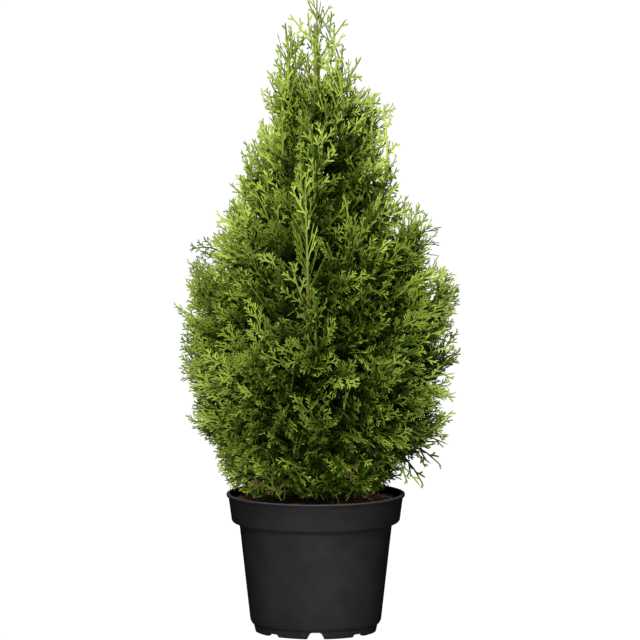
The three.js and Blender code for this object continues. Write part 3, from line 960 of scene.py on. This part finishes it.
def growInside(rng):  # old growth round the trunk and its boughs, deep in the shade
    height, count = inner["start"], 0
    while height < inner["end"]:
        share = (height - inner["start"]) / (inner["end"] - inner["start"])
        low, high = (math.radians(angle) for angle in inner["steepness"])
        steep = low + (high - low) * share + rng.uniform(-0.3, 0.3)
        aim = headingOf(count * goldenAngle, steep)
        level = max(np.searchsorted([tier["start"] for tier in tiers], height) - 1, 0)
        foot = trunkCentre(height) + aim * rng.uniform(0, inner["fromTrunk"])
        placeSpray(level, foot, aim, rng.uniform(*inner["length"]), rng, openness=0)
        height += inner["step"]
        count += 1
    for limb in limbs:
        for i in range(inner["onBough"] if limb["bough"] is not None else 0):
            foot = pointAt(limb["bough"], (i + 1) / inner["onBough"])
            aside = np.array([rng.uniform(-1, 1), rng.uniform(-1, 1), rng.uniform(-0.6, 1)])
            aim = unit(tangentAt(limb["bough"], 0.5) + aside)
            roll = rng.uniform(0, math.pi)
            placeSpray(limb["level"], foot, aim, rng.uniform(*inner["length"]), rng, roll, openness=0)


growInside(random.Random(77))
for number in range(len(limbs)):
    growLimb(number, random.Random(100 + number))
growFronds(random.Random(55))
growLeader(random.Random(99))
growFrontShoot(random.Random(31))
growSingle(random.Random(32))
print("sprays", [len(joined.faces) for joined in leaves])
print("their triangles", [joined.triangles() for joined in leaves], "and the twigs'", twigs.triangles())

# Greens from young tips to old growth, with painted shade: a spray's green is painted darker the less light
# reaches its place through the rest of the crown.
green = {
    # the green in full light and the green in full painted shade
    "young": (0.154, 0.199, 0.028),
    "oldInShade": (0.0112, 0.0212, 0.0010),
    "count": 10,
    "shadeSteps": 8,  # steps of green from full light to full shade
    "belowTop": ((430, 690), (0.35, 0)),  # painted shade: and this much of a step darker below the top
}
shade = {
    "cell": 7,
    "low": (-205, -205, 160),
    "high": (205, 205, 815),
    "steps": 16,  # how many cells of growth shade a place
    "extinction": 0.5,
    "rings": (-10, 20, 50),  # the light comes from above and from rings of directions, this steep
    "turns": 6,
    "bright": 0.34,
    "dim": 0.02,
    # painted light: light from this way counts for more, so the greens on the left are painted lighter
    "paintedLightSide": (-0.5, 0, 0.3),
    "nearPot": ((175, 225), (0.5, 1)),  # less light just above the pot
}
paintedShadeAndLightSpots = [  # painted shade and painted light: where the greens are painted darker (more than 0) or lighter (less than 0): place, size, steps of green
    ((80, -110, 450), 55, 1.9), ((0, -75, 600), 50, 1.4), ((0, -165, 260), 70, -1.0),
    ((85, -20, 610), 45, -0.9), ((155, -10, 350), 40, -2.0), ((-100, -20, 570), 50, 0.6),
    ((-110, -110, 430), 50, -0.6), ((115, -35, 215), 42, 4.5),
]
dried = {  # a few old sprays inside have turned brown
    "color": (0.044, 0.029, 0.012),
    "share": 0.03,
    "light": (0.025, 0.08),
}


def lightIn(density):  # the light that reaches each cell
    steps, light = shade["steps"], np.zeros(density.shape)
    padded = np.pad(density, steps)
    headings = [np.array([0, 0, 1])]
    for ring in shade["rings"]:
        for k in range(shade["turns"]):  # each ring has a start of its own
            headings.append(headingOf(fullTurn * k / shade["turns"] + ring, math.radians(ring)))
    for heading in headings:
        depth = density * 0.5
        for k in range(1, steps + 1):
            near = steps + np.rint(heading * k).astype(int)
            depth += padded[tuple(slice(a, a + count) for a, count in zip(near, density.shape))]
        weight = 1 + np.dot(heading, shade["paintedLightSide"])
        light += weight * np.exp(-shade["extinction"] * depth) / len(headings)
    return light


def dealGreens(rng):
    cell, low, high = shade["cell"], np.array(shade["low"]), np.array(shade["high"])
    density = np.zeros(((high - low) / cell).astype(int) + 1)
    cells = []
    for joined in leaves:
        for verts, faces, first in zip(joined.verts, joined.faces, joined.starts):
            corners = verts[faces - first]
            areas = np.linalg.norm(np.cross(*(corners[:, 1:] - corners[:, :1]).swapaxes(0, 1)), axis=1) / 2
            cells.append(tuple(((corners.mean(axis=1) - low) / cell).astype(int).T))
            np.add.at(density, cells[-1], areas / cell**2)
    light = lightIn(density) * np.interp(low[2] + np.arange(density.shape[2]) * cell, *shade["nearPot"])
    cells = iter(cells)
    dim, bright = dried["light"]
    for joined in leaves:
        for i, ages in enumerate(joined.colors):
            here = next(cells)
            centres = low + np.stack(here, axis=1) * cell
            share = np.clip((light[here] - shade["dim"]) / (shade["bright"] - shade["dim"]), 0, 1)
            # painted shade: darker below the top and in the spots listed above
            paintedShade = np.interp(centres[:, 2], *green["belowTop"])
            for place, size, more in paintedShadeAndLightSpots:
                paintedShade = paintedShade + more * np.exp(-((centres - place) ** 2).sum(axis=1) / size**2)
            # painted shade: a step darker for each step less light, plus the painted shade below, plus half a
            # step per step of age
            steps = np.round((1 - share) * green["shadeSteps"] + paintedShade + ages * 0.5)
            joined.colors[i] = np.clip(steps, 0, green["count"] - 1)
            if dim < light[here].mean() < bright and rng.random() < dried["share"]:
                joined.colors[i] = np.full(len(ages), green["count"])


print("greens")
dealGreens(random.Random(12))


def greenOf(step):
    share = (step / (green["count"] - 1)) ** 0.9
    return [young * (oldInShade / young) ** share for young, oldInShade in zip(green["young"], green["oldInShade"])]


def plainMaterial(name, color):
    material, shader = nodeMaterial(name, color, 0.5, 0.05)
    wax = noiseOf(material, 420, 3, 0.6)
    join(material, spanned(material, wax, 0.4, 0.62), shader.inputs["Roughness"])
    bump(material, shader, noiseOf(material, 1500, 1, 0.5), 0.35, 0.0004)
    return material


def barkMaterial(name, dark, light, stretch):
    material, shader = nodeMaterial(name, dark, 0.8, 0.3)
    fibres = noiseOf(material, 900, 5, 0.7, stretch)
    join(material, ramp(material, fibres, [(0.3, dark), (0.7, light)]), shader.inputs["Base Color"])
    join(material, spanned(material, fibres, 0.65, 0.92), shader.inputs["Roughness"])
    bump(material, shader, fibres, 0.6, 0.0008)
    return material


# lit and painted-shade copies of one green, and the dried brown
greens = [plainMaterial(f"thujaGreen{step + 1}", greenOf(step)) for step in range(green["count"])]
greens.append(plainMaterial("driedSpray", dried["color"]))
twigColors = {"redTwig": (0.068, 0.034, 0.015), "greenTwig": (0.082, 0.092, 0.020)}
for tierNumber, joined in enumerate(leaves, 1):
    keep(joined.make(f"sprays_{tierNumber}", greens), "foliage", *nodesOf(f"foliage_{tierNumber}_"))
twigBarks = [plainMaterial(name, color) for name, color in twigColors.items()]
keep(twigs.make("twigs", twigBarks), "bark", *nodesOf("foliage"))

# Trunk and boughs, with strips of fibrous bark standing out of them.
bark = {
    "sunk": 4,  # the trunk's foot is this deep in the compost
    "relief": 0.55,
    "sides": 18,
    "boughSides": 12,
    "ringEvery": 4.5,
    "youngFrom": 690,
    "greenFrom": 772,
}
barks = [
    barkMaterial("redBrownBark", (0.030, 0.014, 0.008), (0.105, 0.052, 0.027), (1, 1, 0.12)),
    barkMaterial("youngBark", (0.058, 0.050, 0.016), (0.120, 0.090, 0.028), (1, 1, 0.3)),
    barkMaterial("greenBark", (0.085, 0.095, 0.020), (0.125, 0.135, 0.028), (1, 1, 0.4)),
]


def sweptLimb(bm, path, radiusAt, sides):
    ahead = unit(path[1] - path[0])
    turn = Vector(ahead).to_track_quat("Z", "X").to_matrix().to_4x4()
    pose = Matrix.Translation(Vector(path[0]) * mm) @ turn
    made = bmesh.ops.create_circle(bm, segments=sides, radius=radiusAt(0) * mm, cap_ends=True, matrix=pose)
    ring = made["verts"]
    edges = [edge for edge in bm.edges if all(vert in ring for vert in edge.verts)]
    centre, heading = Vector(path[0]), Vector(ahead)
    for i in range(1, len(path)):
        here = Vector(path[i])
        towards = Vector(unit(path[min(i + 1, len(path) - 1)] - path[i - 1]))
        grown = bmesh.ops.extrude_edge_only(bm, edges=edges)["geom"]
        ring = [item for item in grown if isinstance(item, bmesh.types.BMVert)]
        edges = [e for e in grown if isinstance(e, bmesh.types.BMEdge) and all(v in ring for v in e.verts)]
        scale = radiusAt(i / (len(path) - 1)) / radiusAt((i - 1) / (len(path) - 1))
        spin = heading.rotation_difference(towards).to_matrix()
        bmesh.ops.scale(bm, verts=ring, vec=(scale,) * 3, space=Matrix.Translation(-centre * mm))
        bmesh.ops.rotate(bm, verts=ring, cent=centre * mm, matrix=spin)
        bmesh.ops.translate(bm, verts=ring, vec=(here - centre) * mm)
        centre, heading = here, towards
    bmesh.ops.edgeloop_fill(bm, edges=edges)


def makeWood():
    bm = bmesh.new()
    top, foot = trunk["top"], trunk["foot"] - bark["sunk"]
    thick, thin = bough["root"], bough["tip"]
    path = trunkCentre(np.linspace(foot, top, int((top - foot) / bark["ringEvery"])))
    sweptLimb(bm, path, lambda share: float(trunkRadius(foot + (top - foot) * share)), bark["sides"])
    for limb in limbs:
        if limb["bough"] is not None:
            sweptLimb(bm, limb["bough"], lambda share: thick + (thin - thick) * share, bark["boughSides"])
    bmesh.ops.recalc_face_normals(bm, faces=bm.faces)
    bm.normal_update()
    for vert in bm.verts:
        place = vert.co / mm
        centre = trunkCentre(place.z)
        girth = min(1, float(trunkRadius(min(place.z, top))) / 4)
        strips = noise.noise(Vector((place.x - centre[0], place.y - centre[1], place.z * 0.06)) * 0.9)
        flakes = noise.fractal(place * 0.35, 0.7, 2.0, 3)
        vert.co += vert.normal * (strips + 0.35 * flakes) * bark["relief"] * girth * mm
    for face in bm.faces:
        height = face.calc_center_median().z / mm
        face.material_index = int(height > bark["youngFrom"]) + int(height > bark["greenFrom"])
    return keep(objectFrom(bm, "trunkAndBoughs", barks), "bark", "trunk", *nodesOf("bough"))


print("trunk and boughs")
makeWood()

# Camera, floor and light
view = {"distance": 9000, "elevation": 6.4, "aim": (5.4, 0, 396), "frameWidth": 808, "sensor": 36}


def makeCamera():
    camera = linked("camera", bpy.data.cameras.new("camera"))
    tilt = math.radians(view["elevation"])
    back = Vector((0, -math.cos(tilt), math.sin(tilt)))
    camera.location = Vector(view["aim"]) * mm + back * view["distance"] * mm
    camera.rotation_euler = (-back).to_track_quat("-Z", "Y").to_euler()
    camera.data.sensor_width = view["sensor"]
    camera.data.lens = view["sensor"] * view["distance"] / view["frameWidth"]
    camera.data.clip_end = 100
    bpy.context.scene.camera = camera


# The studio's places and sizes are in metres.
rim = {"kind": "SPOT", "aim": (0, 0, 0.53), "radius": 0.3, "cone": 8.4, "blend": 0.15}
lights = {
    "crownKey": {  # a far spotlight on the crown, from above the camera
        "kind": "SPOT", "from": (-0.6, -3.35, 2.7), "aim": (0, 0, 0.55), "energy": 2540,
        "radius": 0.34, "cone": 11.1, "blend": 0.14,
    },
    "potBox": {  # a small softbox close in front of the pot
        "kind": "AREA", "from": (0, -0.43, 0.115), "aim": (0, -0.1, 0.068), "energy": 0.73,
        "size": 0.12, "spread": 64,
    },
    "leftRim": {**rim, "from": (-1.6, 1.4, 2.9), "energy": 620},  # from behind, on the crown only
    "rightRim": {**rim, "from": (1.6, 1.4, 2.9), "energy": 560},
}
floor = {"size": 60, "color": (0.04, 0.04, 0.04), "glow": 1.0}
sky = {"color": (1.0, 1.0, 1.0), "strength": 0.62}


def makeLight(name, form):
    lamp = bpy.data.lights.new(name, form["kind"])
    lamp.energy = form["energy"]
    if form["kind"] == "SPOT":
        lamp.shadow_soft_size = form["radius"]
        lamp.spot_size, lamp.spot_blend = math.radians(form["cone"]), form["blend"]
    else:
        lamp.size, lamp.spread = form["size"], math.radians(form["spread"])
    light = linked(name, lamp)
    light.location = form["from"]
    light.rotation_euler = (Vector(form["aim"]) - light.location).to_track_quat("-Z", "Y").to_euler()
    light.visible_camera = False


def makeStage():
    bm = bmesh.new()
    bmesh.ops.create_grid(bm, x_segments=2, y_segments=2, size=floor["size"] / 2)
    material, shader = nodeMaterial("paleFloor", floor["color"], 0.9, 0.1)
    shader.inputs["Emission Color"].default_value = (1, 1, 1, 1)
    shader.inputs["Emission Strength"].default_value = floor["glow"]
    objectFrom(bm, "floor", [material], smooth=False)
    for name, form in lights.items():
        makeLight(name, form)
    world = bpy.data.worlds.new("studio")
    world.use_nodes = True
    background = world.node_tree.nodes["Background"]
    background.inputs["Color"].default_value = (*sky["color"], 1)
    background.inputs["Strength"].default_value = sky["strength"]
    bpy.context.scene.world = world


print("camera and light")
makeCamera()
makeStage()
bpy.context.scene.view_settings.view_transform = "Standard"
